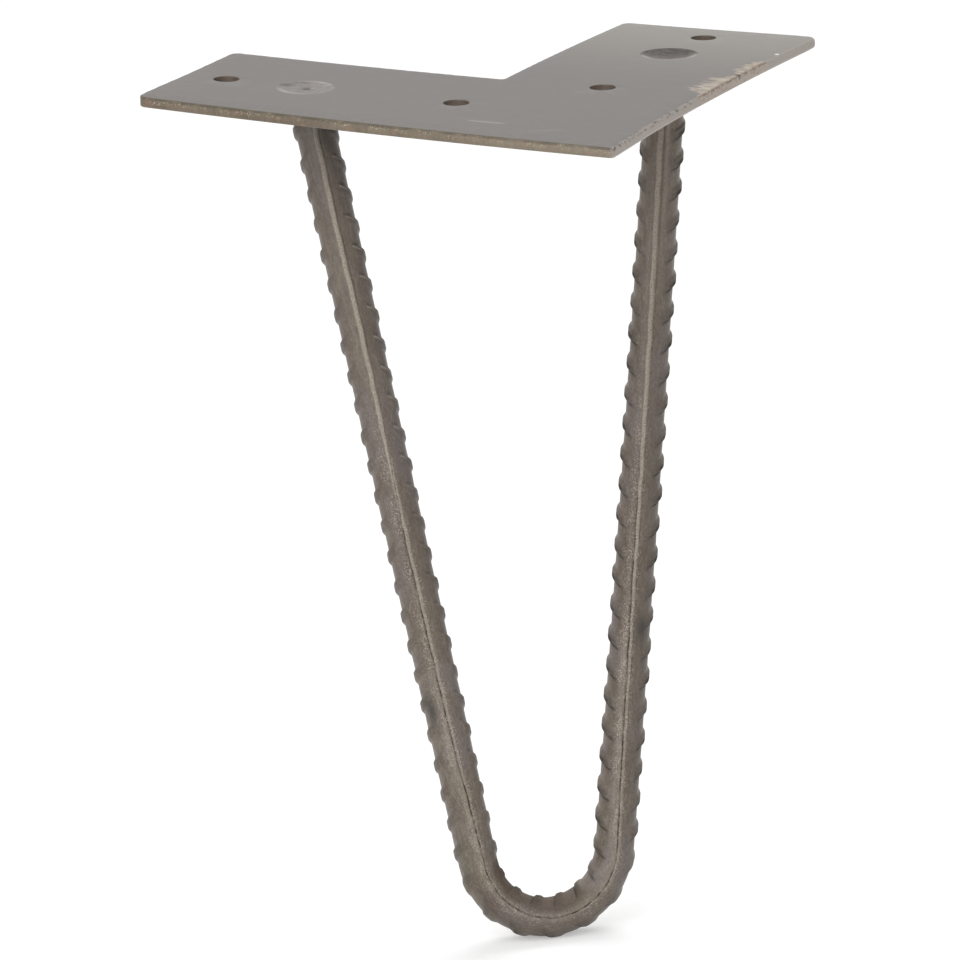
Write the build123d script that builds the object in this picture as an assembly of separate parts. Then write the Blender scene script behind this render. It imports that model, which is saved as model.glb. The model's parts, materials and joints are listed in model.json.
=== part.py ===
"""Hairpin table leg: a ribbed reinforcing bar bent into a narrow U and plug-welded under an L-shaped plate.

Frame: millimetres, +Z up. The origin lies on the top face of the plate, where the centre lines of its
two arms cross. The arms run back from there at 45 degrees to each side, so +X is to the right along
the line between the two ends of the bar, and -Y points at the plate's outer corner.
"""
import math
import os

from build123d import *

# Mounting plate: an L of bare sheet steel with two equal arms
ARM_LENGTH = 120.0
ARM_WIDTH = 50.0
PLATE_THICKNESS = 2.5
OUTER_CORNER_RADIUS = 2.0
INNER_CORNER_RADIUS = 1.0

# Screw holes: two on the centre line of each arm
HOLE_DIAMETER = 6.0
END_HOLE_INSET = 10.5
HOLE_SPACING = 59.0

# Hairpin: where the bar meets the plate, how far it reaches and how it leans
LEG_HEIGHT = 200.0
BAR_INSET = 31.0
LEAN_ANGLE = 11.5
BEND_RADIUS = 17.0

# Reinforcing bar: round core, two long ribs and slanted crescent ribs on both flanks
CORE_DIAMETER = 9.0
LONG_RIB_WIDTH = 1.4
LONG_RIB_HEIGHT = 0.5
RIB_WIDTH = 1.4
RIB_HEIGHT = 0.62
RIB_SHOULDER_HEIGHT = 0.5
RIB_SPAN_ANGLE = 80.0
RIB_END_ANGLE = 10.0
RIB_TILT_ANGLE = 32.0
RIB_PITCH = 7.2
FIRST_RIB = 2.4

# Plug welds: the weld metal that fills the plate's two weld holes and holds the ends of the bar
WELD_DIAMETER = 13.6
PIT_DIAMETER = 1.8
PIT_DEPTH = 0.6
DISH_DIAMETER = 12.4
DISH_FLOOR_DIAMETER = 7.0
DISH_DEPTH = 0.9

# The plate's own axes, with X along the centre line of the right arm and Y along that of the left arm
PLATE_AXES = Plane(origin=(0, 0, 0), x_dir=(1, 1, 0), z_dir=(0, 0, 1))
ARMS = {"left": Vector(0, 1, 0), "right": Vector(1, 0, 0)}

# Places along an arm, from the origin
ARM_REACH = ARM_LENGTH - ARM_WIDTH / 2
END_HOLE_REACH = ARM_REACH - END_HOLE_INSET
NEAR_HOLE_REACH = END_HOLE_REACH - HOLE_SPACING
BAR_REACH = ARM_REACH - BAR_INSET

# The hairpin in its own plane, measured down from the underside of the plate
CORE_RADIUS = CORE_DIAMETER / 2
BAR_OFFSET = BAR_REACH / math.sqrt(2)
BEND_DEPTH = (LEG_HEIGHT - PLATE_THICKNESS - CORE_RADIUS) / math.cos(math.radians(LEAN_ANGLE))
BEND_CENTRE_DEPTH = BEND_DEPTH - BEND_RADIUS
HALF_ANGLE = math.atan2(BAR_OFFSET, BEND_CENTRE_DEPTH) - math.asin(
    BEND_RADIUS / math.hypot(BAR_OFFSET, BEND_CENTRE_DEPTH)
)
END_OVERRUN = CORE_DIAMETER

# The bar's two flanks, as turns from the hairpin's outside, and how far a tilted rib reaches along the bar
FLANK_ANGLES = {"outside": 0.0, "inside": 180.0}
RIB_REACH = CORE_RADIUS * math.tan(math.radians(RIB_TILT_ANGLE)) + RIB_WIDTH / 2


def on_arm(side, reach):
    """The point on an arm's centre line at this distance from the origin, on the plate's top face."""
    return PLATE_AXES.from_local_coords(ARMS[side] * reach)


def weld_disc(side):
    """The round of weld metal that fills a weld hole from face to face of the plate."""
    disc = Cylinder(WELD_DIAMETER / 2, PLATE_THICKNESS, align=(Align.CENTER, Align.CENTER, Align.MAX))
    return Pos(on_arm(side, BAR_REACH)) * disc


def mounting_plate():
    """The flat L with rounded corners, four screw holes and two weld holes."""
    corner = (Align.MIN, Align.MIN)
    notch_side = ARM_LENGTH - ARM_WIDTH
    outline = Rectangle(ARM_LENGTH, ARM_LENGTH, align=corner)
    outline -= Pos(ARM_WIDTH, ARM_WIDTH) * Rectangle(notch_side, notch_side, align=corner)
    inner_corner = outline.vertices().sort_by_distance((ARM_WIDTH, ARM_WIDTH, 0))[:1]
    outer_corners = outline.vertices() - inner_corner
    outline = fillet(inner_corner, INNER_CORNER_RADIUS)
    outline = fillet(
        [outline.vertices().sort_by_distance(vertex)[0] for vertex in outer_corners],
        OUTER_CORNER_RADIUS,
    )
    plate = extrude(
        PLATE_AXES * Pos(-ARM_WIDTH / 2, -ARM_WIDTH / 2) * outline,
        amount=PLATE_THICKNESS,
        dir=(0, 0, -1),
    )
    for side in ARMS:
        for reach in (NEAR_HOLE_REACH, END_HOLE_REACH):
            drill = Cylinder(HOLE_DIAMETER / 2, 4 * PLATE_THICKNESS)
            plate -= Pos(on_arm(side, reach)) * drill
        plate -= weld_disc(side)
    return plate


def hairpin_path():
    """The bar's centre line, upright in the XZ plane: the left leg, the bend and the right leg."""
    along = Vector(math.sin(HALF_ANGLE), 0, math.cos(HALF_ANGLE))
    outward = Vector(math.cos(HALF_ANGLE), 0, -math.sin(HALF_ANGLE))
    right_top = Vector(BAR_OFFSET, 0, 0) + along * END_OVERRUN
    right_tangent = Vector(0, 0, -BEND_CENTRE_DEPTH) + outward * BEND_RADIUS
    left_top = Vector(-right_top.X, 0, right_top.Z)
    left_tangent = Vector(-right_tangent.X, 0, right_tangent.Z)
    bottom = Vector(0, 0, -BEND_DEPTH)
    left_leg = Line(left_top, left_tangent).edge()
    bend = ThreePointArc(left_tangent, bottom, right_tangent).edge()
    right_leg = Line(right_tangent, right_top).edge()
    return left_leg, bend, right_leg


def bar_plane(path, distance):
    """The plane across the bar at this distance along it, with X to the hairpin's outside and Y to its back."""
    along = path.tangent_at(distance, position_mode=PositionMode.LENGTH)
    outside = Vector(0, 1, 0).cross(along)
    return Plane(
        origin=path.position_at(distance, position_mode=PositionMode.LENGTH),
        x_dir=outside,
        z_dir=along,
    )


def bar_section():
    """The bar's section between its slanted ribs: the round core with a long rib at front and back."""
    long_ribs = Rectangle(LONG_RIB_WIDTH, 2 * (CORE_RADIUS + LONG_RIB_HEIGHT))
    return Circle(CORE_RADIUS) + long_ribs


def polar(radius, degrees):
    """A point of the bar's section, at this turn from the middle of a flank."""
    return Vector(radius * math.cos(math.radians(degrees)), radius * math.sin(math.radians(degrees)))


def crescent_outline():
    """The outline of a rib in its tilted plane: a crest, two sloping ends and a foot buried in the core.

    It is drawn on the bar's round section and then stretched along the slope of the tilted plane.
    """
    tip_angle = RIB_SPAN_ANGLE / 2
    shoulder = polar(CORE_RADIUS + RIB_SHOULDER_HEIGHT, tip_angle - RIB_END_ANGLE)
    slope = (polar(CORE_RADIUS, tip_angle) - shoulder).normalized()
    buried = shoulder - slope * shoulder.dot(slope)
    half = [buried, shoulder, Vector(CORE_RADIUS + RIB_HEIGHT, 0)]
    corners = half + [Vector(point.X, -point.Y) for point in half[1::-1]]
    stretch = 1 / math.cos(math.radians(RIB_TILT_ANGLE))
    return make_face(Polyline([(point.X, point.Y * stretch) for point in corners], close=True))


def crescent_rib(path, distance, flank_angle):
    """One slanted rib, on the flank that lies at this turn from the hairpin's outside."""
    across = bar_plane(path, distance).offset(-RIB_WIDTH / 2)
    outline = across.rotated((RIB_TILT_ANGLE, 0, 0)) * Rot(0, 0, flank_angle) * crescent_outline()
    return extrude(outline, amount=RIB_WIDTH, dir=across.z_dir)


def hairpin_rod():
    """The bent bar with its ribs, leaned towards the outer corner and cut flush under the plate.

    The ribs keep their pitch along the centre line. The bend itself is left plain: bending pressed the
    ribs on its outside flat and crowded those on its inside.
    """
    left_leg, bend, right_leg = hairpin_path()
    path = Wire([left_leg, bend, right_leg])
    bar = sweep(bar_plane(path, 0) * bar_section(), path=path)
    plain_start = left_leg.length - RIB_REACH
    plain_end = left_leg.length + bend.length + RIB_REACH
    ribs = []
    distance = END_OVERRUN + FIRST_RIB
    while distance < path.length - END_OVERRUN:
        if not plain_start < distance < plain_end:
            ribs += [crescent_rib(path, distance, angle) for angle in FLANK_ANGLES.values()]
        distance += RIB_PITCH
    bar = bar.fuse(*ribs)
    placed = Pos(0, BAR_OFFSET, -PLATE_THICKNESS) * Rot(-LEAN_ANGLE, 0, 0) * bar
    return split(placed, bisect_by=Plane.XY.offset(-PLATE_THICKNESS), keep=Keep.BOTTOM)


def left_plug_weld():
    """The left weld, ground flush with the plate, with a small pit left in its middle."""
    pit = Cylinder(PIT_DIAMETER / 2, PIT_DEPTH, align=(Align.CENTER, Align.CENTER, Align.MAX))
    return weld_disc("left") - Pos(on_arm("left", BAR_REACH)) * pit


def right_plug_weld():
    """The right weld, sunk to a shallow dish below the plate's top face."""
    dish = Cone(
        DISH_FLOOR_DIAMETER / 2,
        DISH_DIAMETER / 2,
        DISH_DEPTH,
        align=(Align.CENTER, Align.CENTER, Align.MAX),
    )
    return weld_disc("right") - Pos(on_arm("right", BAR_REACH)) * dish


os.makedirs("parts", exist_ok=True)
export_step(mounting_plate(), "parts/mounting_plate.step")
export_step(hairpin_rod(), "parts/hairpin_rod.step")
export_step(left_plug_weld(), "parts/left_plug_weld.step")
export_step(right_plug_weld(), "parts/right_plug_weld.step")
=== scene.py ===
"""Looks of the hairpin table leg: a ribbed bar with mill scale, a bare steel plate and two plug welds."""

import json
import math
from types import SimpleNamespace

import bmesh
import bpy
import numpy as np
from mathutils import Matrix, Vector


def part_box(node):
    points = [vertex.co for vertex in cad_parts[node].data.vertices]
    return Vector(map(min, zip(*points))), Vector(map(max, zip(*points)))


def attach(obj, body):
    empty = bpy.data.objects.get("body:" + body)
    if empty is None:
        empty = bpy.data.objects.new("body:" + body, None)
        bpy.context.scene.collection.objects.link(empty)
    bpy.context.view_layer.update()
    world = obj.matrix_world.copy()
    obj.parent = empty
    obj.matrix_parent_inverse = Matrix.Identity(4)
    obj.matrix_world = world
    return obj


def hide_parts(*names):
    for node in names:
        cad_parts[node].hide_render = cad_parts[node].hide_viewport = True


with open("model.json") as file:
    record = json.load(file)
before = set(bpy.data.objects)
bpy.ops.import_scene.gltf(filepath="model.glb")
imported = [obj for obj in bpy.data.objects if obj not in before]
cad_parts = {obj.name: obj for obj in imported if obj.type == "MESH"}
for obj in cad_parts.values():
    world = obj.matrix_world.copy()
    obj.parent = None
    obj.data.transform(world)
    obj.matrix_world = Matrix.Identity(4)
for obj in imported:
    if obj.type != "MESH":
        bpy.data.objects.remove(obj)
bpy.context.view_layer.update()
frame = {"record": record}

# Sizes below are in millimetres, and meshes are scaled to the frame's metres when they are made
MM = 0.001


def node_box(node):
    """The lowest and highest corners of a CAD node, in millimetres."""
    low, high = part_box(node)
    return np.array(low) / MM, np.array(high) / MM


# Places taken from the frame
UNDERSIDE = node_box("mounting_plate")[0][2]
FOOT = node_box("hairpin_rod")[0][2]
WELD_CENTRES = {side: sum(node_box(side + "_plug_weld")) / 2 for side in ("left", "right")}
WELD_RADIUS = (node_box("left_plug_weld")[1][0] - node_box("left_plug_weld")[0][0]) / 2
HOLE_MOUNTS = [mount for mount in frame["record"]["mounts"] if mount["kind"] == "bolt_pattern"]
HOLE_RADIUS = HOLE_MOUNTS[0]["dims"]["hole_r_mm"]

# Plate outline in its own axes, p along the right arm and q along the left arm, from the part's origin
ARM_LENGTH = 120.0
ARM_WIDTH = 50.0
OUTER_CORNER_RADIUS = 2.0
FRONT_CORNER_RADIUS = 1.2
INNER_CORNER_RADIUS = 1.0
NEAR_SIDE = -ARM_WIDTH / 2
FAR_SIDE = ARM_WIDTH / 2
ARM_END = ARM_LENGTH - ARM_WIDTH / 2

# Sheet edges: crisp where they were sheared, and dressed to a soft bevel along the right front edge
SHEARED_ROUND = 0.28
DRESSED_ROUND = 0.6
LOWER_ROUND = 0.3
HOLE_ROUND = 0.18
LEAST_ROUND = 0.1
ROUND_WAVE = 0.2
WALL_WAVE = 0.03
WALL_WAVE_TURN = 9.0
WALL_STEPS = (1 / 3, 2 / 3)
WORN_CORNER_ROUND = 0.45
WORN_CORNER_REACH = 4.0

# Scraped stretch of the right front edge: two lobes, each with its middle, half length and depth
SCRAPES = ((36.5, 14.5, 5.2), (56.0, 10.0, 3.6))
NICK_DEPTH = 0.35
NICK_LEVEL = 0.3
NICK_SPREAD = 0.7

# The sheet was pulled out of true by welding: bow and rise along each arm, and the sag of the corner
BOW_RIGHT = 0.83
BOW_LEFT = -0.473
BOW_CORNER = -0.251
RISE_RIGHT = 0.583
RISE_LEFT = 0.097

# Shearing curled the left front edge, down at the outer corner and up at the arm's end
CURL_CORNER = -0.44
CURL_END = 0.615
CURL_REACH = 19.0

# How finely the plate and the welds are divided, and the least angle of their sharp edges
EDGE_SPACING = 0.7
CORNER_POINTS = 9
ROUND_POINTS = 4
HOLE_POINTS = 48
WELD_POINTS = 72
WELD_RINGS = 40
BOW_GRID = 6.0
SHEET_SHARP_ANGLE = 40

# Hairpin: the bar's centre line, as in the CAD part but for the bend, which opened a little
LEAN = math.radians(11.5)
BEND_RADIUS = 17.4
CORE_RADIUS = 4.6
BAR_X = WELD_CENTRES["right"][0]
BAR_Y = WELD_CENTRES["right"][1]
BEND_DEPTH = (UNDERSIDE - FOOT - CORE_RADIUS) / math.cos(LEAN)
BEND_CENTRE_DEPTH = BEND_DEPTH - BEND_RADIUS
HALF_ANGLE = math.atan2(BAR_X, BEND_CENTRE_DEPTH) - math.asin(
    BEND_RADIUS / math.hypot(BAR_X, BEND_CENTRE_DEPTH)
)
LEG_LENGTH = math.sqrt(BAR_X ** 2 + BEND_CENTRE_DEPTH ** 2 - BEND_RADIUS ** 2)
BEND_LENGTH = BEND_RADIUS * (math.pi - 2 * HALF_ANGLE)
BAR_LENGTH = 2 * LEG_LENGTH + BEND_LENGTH
BAR_MIDDLE = BAR_LENGTH / 2
END_BURIED = 1.2

# The bar was welded a little out of place: sideways at its ends and bend, and bowed along its right leg
SET_LEFT = 0.7
SET_BEND = -0.25
SET_RIGHT = -0.58
SET_BOW = 0.38

# The bar was bent with a slight twist: distances along it, and how far it is turned there, in degrees
TWIST_PLACES = (0, 25, 34, 43, 55, 100, 147, 160, 168, 180, 209, 225, 233, 244, 268, 298, 358, 398, 418)
TWIST_TURNS = (19, 20, 20, 17.5, 15.5, 16, 10.5, 7, 2, -1, 0, -3, -7, -11, -15.5, -20, -23, -27, -30)
RIB_TURN = math.radians(21.5)
SIDE_BLEND = 30.0

# Slanted ribs: crescents on both flanks, lower in the bend and pressed wider on its outside
RIB_PITCH = 7.2
FIRST_RIB = 2.4
RIB_SHIFTS = {"outside": -1.2, "inside": 0.0}
RIB_HEIGHT = 0.62
LEFT_LEG_HEIGHTS = {"outside": 0.95, "inside": 0.84}
BEND_HEIGHTS = {"outside": 0.8, "inside": 0.72}
PRESSED_WIDENING = 0.25
BEND_BLEND = 7.0
RIB_STEEP_REACH = 1.4
RIB_GENTLE_REACH = 1.85
RIB_CREST_REACH = 0.75
RIB_TILT = math.tan(math.radians(32))
RIB_HALF_SPAN = math.radians(56)
RIB_TAPER = 0.75
RIB_HEIGHT_SPREAD = 0.1
RIB_PLACE_SPREAD = 0.14

# The slanted ribs stray from their even pitch: distances along the bar, and how far they lie off there
STRAY_PLACES = (28, 57, 86, 115, 145, 160, 182, 207, 235, 264, 279, 308, 352, 382)
STRAYS = {
    "outside": (-0.5, -0.25, 0, 0.12, 0.1, 0, 0, -0.3, -0.5, -0.72, -0.62, -0.6, -0.25, -0.1),
    "inside": (-0.12, -0.37, -0.37, -0.6, -0.86, -1, -1.2, 0.9, 1.1, 0.95, 0.86, 0.37, 0.12, 0),
}

# Groove at the foot of a slanted rib, painted dark as painted shade, with its share on each leg at the
# rib's middle and tips
GROOVE_WIDTH = 0.24
GROOVE_DEPTH = 0.07
GROOVE_RIGHT = (0.75, 0.25)
GROOVE_LEFT = {"outside": (0.15, 0.15), "inside": (0.3, 0.65)}

# Painted shade on a slanted rib's steep side and face, and how much fainter it is on the left leg
STEEP_SHADE_WIDTH = 0.42
STEEP_FAINTNESS = {"outside": 0.8, "inside": 0.4}
FACE_SHADE_PLACE = 0.15
FACE_SHADE_WIDTH = 1.05
FACE_SHADE_SHARE = 0.72
FACE_FAINTNESS = {"outside": 0.45, "inside": 0.2}
FACE_TIP_LEVEL = 1.6
FACE_TIP_SLOPE = 1.5
FACE_FRONT_LEVEL = 0.65
FACE_FRONT_SLOPE = 1.3

# Painted highlight line on the crests of the left leg's inside ribs, which fades down the leg
CREST_LINE_WIDTH = 0.2
CREST_LINE_SLOPE = 1.1
CREST_LINE_TAPER = 0.3
CREST_LINE_LEAST = 0.5
CREST_FADE = 0.75

# Long ribs at the front and back of the bar, narrower and lower towards the bend
LONG_RIB_TOP_WIDTH = 0.58
LONG_RIB_LOW_WIDTH = 0.3
LONG_RIB_TOP_HEIGHT = 0.24
LONG_RIB_LOW_HEIGHT = 0.1
LONG_RIB_WANDER = 0.06

# Slight unevenness that rolling left on the bar
ROLLING_WAVE = 0.025

# Rolling seam beside the long rib: places along the bar, its offset to the outside and its share there
SEAM_PLACES = (0, 75, 105, 165, 195, 225, 276, 317, 335, 420)
SEAM_OFFSETS = (-0.85, -0.65, 0.55, 0.42, 0, -0.42, -0.45, -0.5, -0.6, -0.8)
SEAM_SHARES = (0.6, 0.5, 0.9, 1, 1, 1, 1, 0.8, 0.1, 0.1)
SEAM_WIDTH = 0.19
SEAM_DEPTH = 0.1

# How far the long ribs are rubbed bright, from the middle of the bend to the bar's ends
RUBBED_PLACES = (0, 0.1, 0.25, 0.6, 1)
RUBBED_SHARES = (0.15, 0.25, 0.6, 1, 1)

# Length of the left leg's top under the painted shadow of the plate, and how far that painted shadow dims
# the long rib there
PLATE_SHADOW_REACH = 32.0
PLATE_SHADOW_DULLING = 0.6

# Second bright strip at the top of the right leg
STRIP_OFFSET = 1.75
STRIP_WIDTH = 0.5
STRIP_LENGTH = 62.0
STRIP_SHARE = 0.75

# Dark line on the outer side of the right leg's long rib: distances from its top, offsets and shares
LINE_PLACES = (0, 45, 80, 110, 140, 165)
LINE_OFFSETS = (1.02, 0.95, 0.75, 0.6, 0.5, 0.5)
LINE_SHARES = (0.48, 0.4, 0.16, 0.2, 0.28, 0)

# Painted highlight band on the lower legs, fainter at the bottom of the bend
HIGHLIGHT_OFFSET = 1.2
HIGHLIGHT_WIDTH = 1.0
HIGHLIGHT_FADE = 0.55
HIGHLIGHT_FADE_REACH = 14

# Bare specks beside the seam, in the painted highlight band and at the bottom of the bend
SEAM_SPECKS_WIDTH = 1.0
BAND_SPECKS_WIDTH = 1.8
BAND_SPECKS_SHARE = 0.75
BOTTOM_SPECKS_REACH = 18
BOTTOM_SPECKS_OFFSET = 0.5
BOTTOM_SPECKS_WIDTH = 2.2
BOTTOM_SPECKS_SHARE = 0.8

# Dark inner side of the bend, fainter towards the right leg
HIDDEN_WIDTH = 3
HIDDEN_FADE = 0.65
HIDDEN_FADE_REACH = 14

# Dark smudges: distance along the bar, turn from its outside, length and width
SMUDGES = ((146.2, math.radians(-43), 2.8, 1.3), (BAR_LENGTH - 132.5, math.radians(-57), 3.2, 1.7))

# How finely the bar is divided, and the least angle of its sharp edges
RINGS_PER_PITCH = 18
RING_CROWDING = 0.35
SECTION_POINTS = 88
SECTION_CROWDING = 0.37
END_BLEND = 12.0
BAR_SHARP_ANGLE = 60


def smooth(values):
    """An even rise from 0 to 1 as the values go from 0 to 1."""
    values = np.clip(values, 0, 1)
    return values * values * (3 - 2 * values)


def fade(values, start, full):
    """A soft rise from 0 at the start to 1 at the full mark, which may lie either way."""
    return smooth((values - start) / (full - start))


def hump(values):
    """A soft hump: 1 at 0 and almost nothing beyond 2 on either side."""
    return np.exp(-np.square(values))


def waves(rng, *places, size, count=6):
    """A soft repeatable unevenness of about -1 to 1 over the given places, no finer than the size."""
    total = 0
    for _ in range(count):
        phase = rng.uniform(0, 2 * math.pi)
        for place in places:
            phase = phase + place * rng.uniform(0.3, 1) * rng.choice((-1, 1)) * 2 * math.pi / size
        total = total + np.sin(phase)
    return total / math.sqrt(count)


def part_xy(p, q):
    """A point of the plate's own axes in the part's frame."""
    return (p - q) / math.sqrt(2), (p + q) / math.sqrt(2)


def plate_pq(x, y):
    """A point of the part's frame in the plate's own axes."""
    return (x + y) / math.sqrt(2), (y - x) / math.sqrt(2)


def bow(x, y):
    """How far the sheet stands above its true plane at a point of the part's frame."""
    p, q = plate_pq(x, y)
    u = (p - NEAR_SIDE) / ARM_LENGTH
    v = (q - NEAR_SIDE) / ARM_LENGTH
    bowed = 4 * BOW_RIGHT * u * (1 - u) + 4 * BOW_LEFT * v * (1 - v) + 4 * BOW_CORNER * u * v
    curled = (CURL_CORNER + (CURL_END - CURL_CORNER) * v) * hump((p - NEAR_SIDE) / CURL_REACH)
    return bowed + curled + RISE_RIGHT * u + RISE_LEFT * v


def follow_bow(bm):
    """Lifts a mesh's points with the sheet's bow."""
    for vert in bm.verts:
        vert.co.z += bow(vert.co.x, vert.co.y)


def bridge(bm, first, second):
    """The faces between two closed loops of as many points."""
    for j in range(len(first)):
        k = (j + 1) % len(first)
        bm.faces.new((first[j], first[k], second[k], second[j]))


def add_piece(name, bm, node, material, sharp_angle):
    """Makes a piece of the object from a bmesh in millimetres, standing for a CAD node."""
    bmesh.ops.recalc_face_normals(bm, faces=bm.faces)
    bmesh.ops.scale(bm, vec=(MM, MM, MM), verts=bm.verts)
    mesh = bpy.data.meshes.new(name)
    bm.to_mesh(mesh)
    bm.free()
    mesh.shade_smooth()
    mesh.set_sharp_from_angle(angle=math.radians(sharp_angle))
    mesh.materials.append(material)
    piece = bpy.data.objects.new(name, mesh)
    bpy.context.scene.collection.objects.link(piece)
    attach(piece, "root")
    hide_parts(node)
    return piece


def carry(piece, name, values):
    """Gives each point of a piece's mesh a value for its material to read."""
    attribute = piece.data.attributes.new(name, "FLOAT", "POINT")
    attribute.data.foreach_set("value", np.ascontiguousarray(values, dtype=np.float32).ravel())


# Bar

def towards_end(distance):
    """0 at the middle of the bend and 1 at both ends of the bar."""
    return np.abs(1 - 2 * distance / BAR_LENGTH)


def side_of_bend(distance):
    """1 on the left leg and -1 on the right one, changing over through the bend."""
    return np.tanh((BAR_MIDDLE - distance) / SIDE_BLEND)


def centre_line(distance):
    """The bar's centre line in its own plane: x, depth, and the outward direction's x and depth."""
    turn = HALF_ANGLE + (distance - LEG_LENGTH) / BEND_RADIUS
    rise = distance - LEG_LENGTH - BEND_LENGTH
    on_left = distance < LEG_LENGTH
    on_right = rise > 0
    turn = np.where(on_left, HALF_ANGLE, np.where(on_right, math.pi - HALF_ANGLE, turn))
    x = -BEND_RADIUS * np.cos(turn)
    depth = BEND_CENTRE_DEPTH + BEND_RADIUS * np.sin(turn)
    straight = np.where(on_left, distance - LEG_LENGTH, np.where(on_right, rise, 0))
    x = x + straight * math.sin(HALF_ANGLE)
    depth = depth + straight * math.cos(HALF_ANGLE) * np.where(on_right, -1, 1)
    left_share = np.clip(1 - distance / LEG_LENGTH, 0, 1)
    right_share = np.clip(rise / LEG_LENGTH, 0, 1)
    x = x + SET_LEFT * left_share + SET_RIGHT * right_share + SET_BEND * (1 - left_share - right_share)
    x = x + 4 * SET_BOW * right_share * (1 - right_share)
    return x, depth, -np.cos(turn), np.sin(turn)


def bar_points(distance, radius, angle):
    """Points round the bar: the angle runs from the hairpin's outside towards its back."""
    x, depth, out_x, out_depth = centre_line(distance)
    outward = radius * np.cos(angle)
    back = radius * np.sin(angle)
    x = x + outward * out_x
    depth = depth + outward * out_depth
    y = BAR_Y + back * math.cos(LEAN) - depth * math.sin(LEAN)
    z = UNDERSIDE - depth * math.cos(LEAN) - back * math.sin(LEAN)
    return np.stack([x, y, z], axis=-1)


def ring_stations():
    """Where the bar's rings lie, closer together on the slanted ribs."""
    even = np.linspace(0, BAR_LENGTH, round(BAR_LENGTH / RIB_PITCH * RINGS_PER_PITCH))
    wave = 2 * math.pi / RIB_PITCH
    middle = FIRST_RIB + sum(RIB_SHIFTS.values()) / 2
    stations = even - RING_CROWDING / wave * np.sin(wave * (even - middle))
    spacing = even[1]
    inside = stations[(stations > spacing) & (stations < BAR_LENGTH - spacing)]
    return np.concatenate([[0], inside, [BAR_LENGTH]])


def section_angles():
    """Turns round the bar from its outside flank, closer together on the two long ribs."""
    even = np.linspace(-math.pi, math.pi, SECTION_POINTS, endpoint=False)
    return even + SECTION_CROWDING * np.sin(2 * even)


def ring_distances(stations, angles):
    """How far along the bar each point lies: rings follow the ribs' tilt and end flat under the plate."""
    tilted = CORE_RADIUS * RIB_TILT * np.sin(angles)
    cut = CORE_RADIUS * np.sin(angles) * math.tan(LEAN) / math.cos(HALF_ANGLE)
    lean_in = CORE_RADIUS * np.cos(angles) * math.tan(HALF_ANGLE)
    from_left = stations[:, None]
    from_right = BAR_LENGTH - from_left
    left_share = 1 - smooth(from_left / END_BLEND)
    right_share = 1 - smooth(from_right / END_BLEND)
    offset = tilted * (1 - left_share - right_share)
    offset = offset - (cut + lean_in + END_BURIED) * left_share
    offset = offset + (cut + lean_in + END_BURIED) * right_share
    return from_left + offset


def bend_share(distance):
    """1 in the bend and 0 on the legs, with a soft change between."""
    enter = smooth((distance - LEG_LENGTH + BEND_BLEND / 2) / BEND_BLEND)
    leave = smooth((distance - LEG_LENGTH - BEND_LENGTH + BEND_BLEND / 2) / BEND_BLEND)
    return enter - leave


def twist(distance):
    """How far the bar is turned about its own line."""
    return np.radians(np.interp(distance, TWIST_PLACES, TWIST_TURNS))


def by_flank(outside, values):
    """The value of each point's own flank."""
    return np.where(outside, values["outside"], values["inside"])


def rib_places(stations, outside):
    """How far each point is from its slanted rib's middle, and that rib's share of full height."""
    rng = np.random.default_rng(seed=11)
    number = np.clip(np.round((stations - FIRST_RIB) / RIB_PITCH).astype(int), 0, None)
    slip = CORE_RADIUS * RIB_TILT * np.sin(RIB_TURN * side_of_bend(stations) - twist(stations))
    left_leg = smooth(side_of_bend(stations))
    middles = {}
    heights = {}
    for flank, shift in RIB_SHIFTS.items():
        tall = 1 + rng.uniform(-RIB_HEIGHT_SPREAD, RIB_HEIGHT_SPREAD, number.max() + 1)
        shifts = shift + rng.uniform(-RIB_PLACE_SPREAD, RIB_PLACE_SPREAD, number.max() + 1)
        place = FIRST_RIB + number * RIB_PITCH + shifts[number]
        place = place - slip if flank == "outside" else place + slip
        place = place + np.interp(stations, STRAY_PLACES, STRAYS[flank])
        middles[flank] = place[:, None]
        heights[flank] = (tall[number] * (1 - left_leg * (1 - LEFT_LEG_HEIGHTS[flank])))[:, None]
    return stations[:, None] - by_flank(outside, middles), by_flank(outside, heights)


def rib_grid(stations, angles, distance):
    """Where each point lies on the slanted ribs, with their crescent form and share of full height."""
    outside = np.abs(angles) < math.pi / 2
    from_flank = np.where(outside, np.abs(angles), math.pi - np.abs(angles))
    tipwards = from_flank / RIB_HALF_SPAN
    across, height = rib_places(stations, outside)
    bend = bend_share(distance)
    return SimpleNamespace(
        across=across,
        height=height * (1 - bend * (1 - by_flank(outside, BEND_HEIGHTS))),
        outside=outside,
        tipwards=tipwards,
        crescent=np.clip(1 - tipwards ** 2, 0, 1) ** RIB_TAPER,
        widening=1 + PRESSED_WIDENING * bend * outside,
        left_leg=smooth(side_of_bend(stations))[:, None],
        frontwards=-np.sin(angles),
    )


def rib_relief(rib):
    """The slanted ribs' share of full height: steep on one side and gentle on the other."""
    reach = np.where(rib.across < 0, RIB_STEEP_REACH, RIB_GENTLE_REACH) * rib.widening
    profile = smooth((reach - np.abs(rib.across)) / (reach - RIB_CREST_REACH))
    return profile * rib.crescent * rib.height


def rib_groove(rib):
    """The groove at the foot of each slanted rib's steep side, and the painted shade in it."""
    groove = hump((rib.across + RIB_STEEP_REACH * rib.widening) / GROOVE_WIDTH)
    right = GROOVE_RIGHT[0] + (GROOVE_RIGHT[1] - GROOVE_RIGHT[0]) * rib.tipwards
    left = {flank: middle + (tip - middle) * rib.tipwards for flank, (middle, tip) in GROOVE_LEFT.items()}
    share = by_flank(rib.outside, left) * rib.left_leg + right * (1 - rib.left_leg)
    return groove * fade(rib.tipwards, start=1.08, full=0.88) * share * rib.height


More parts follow.
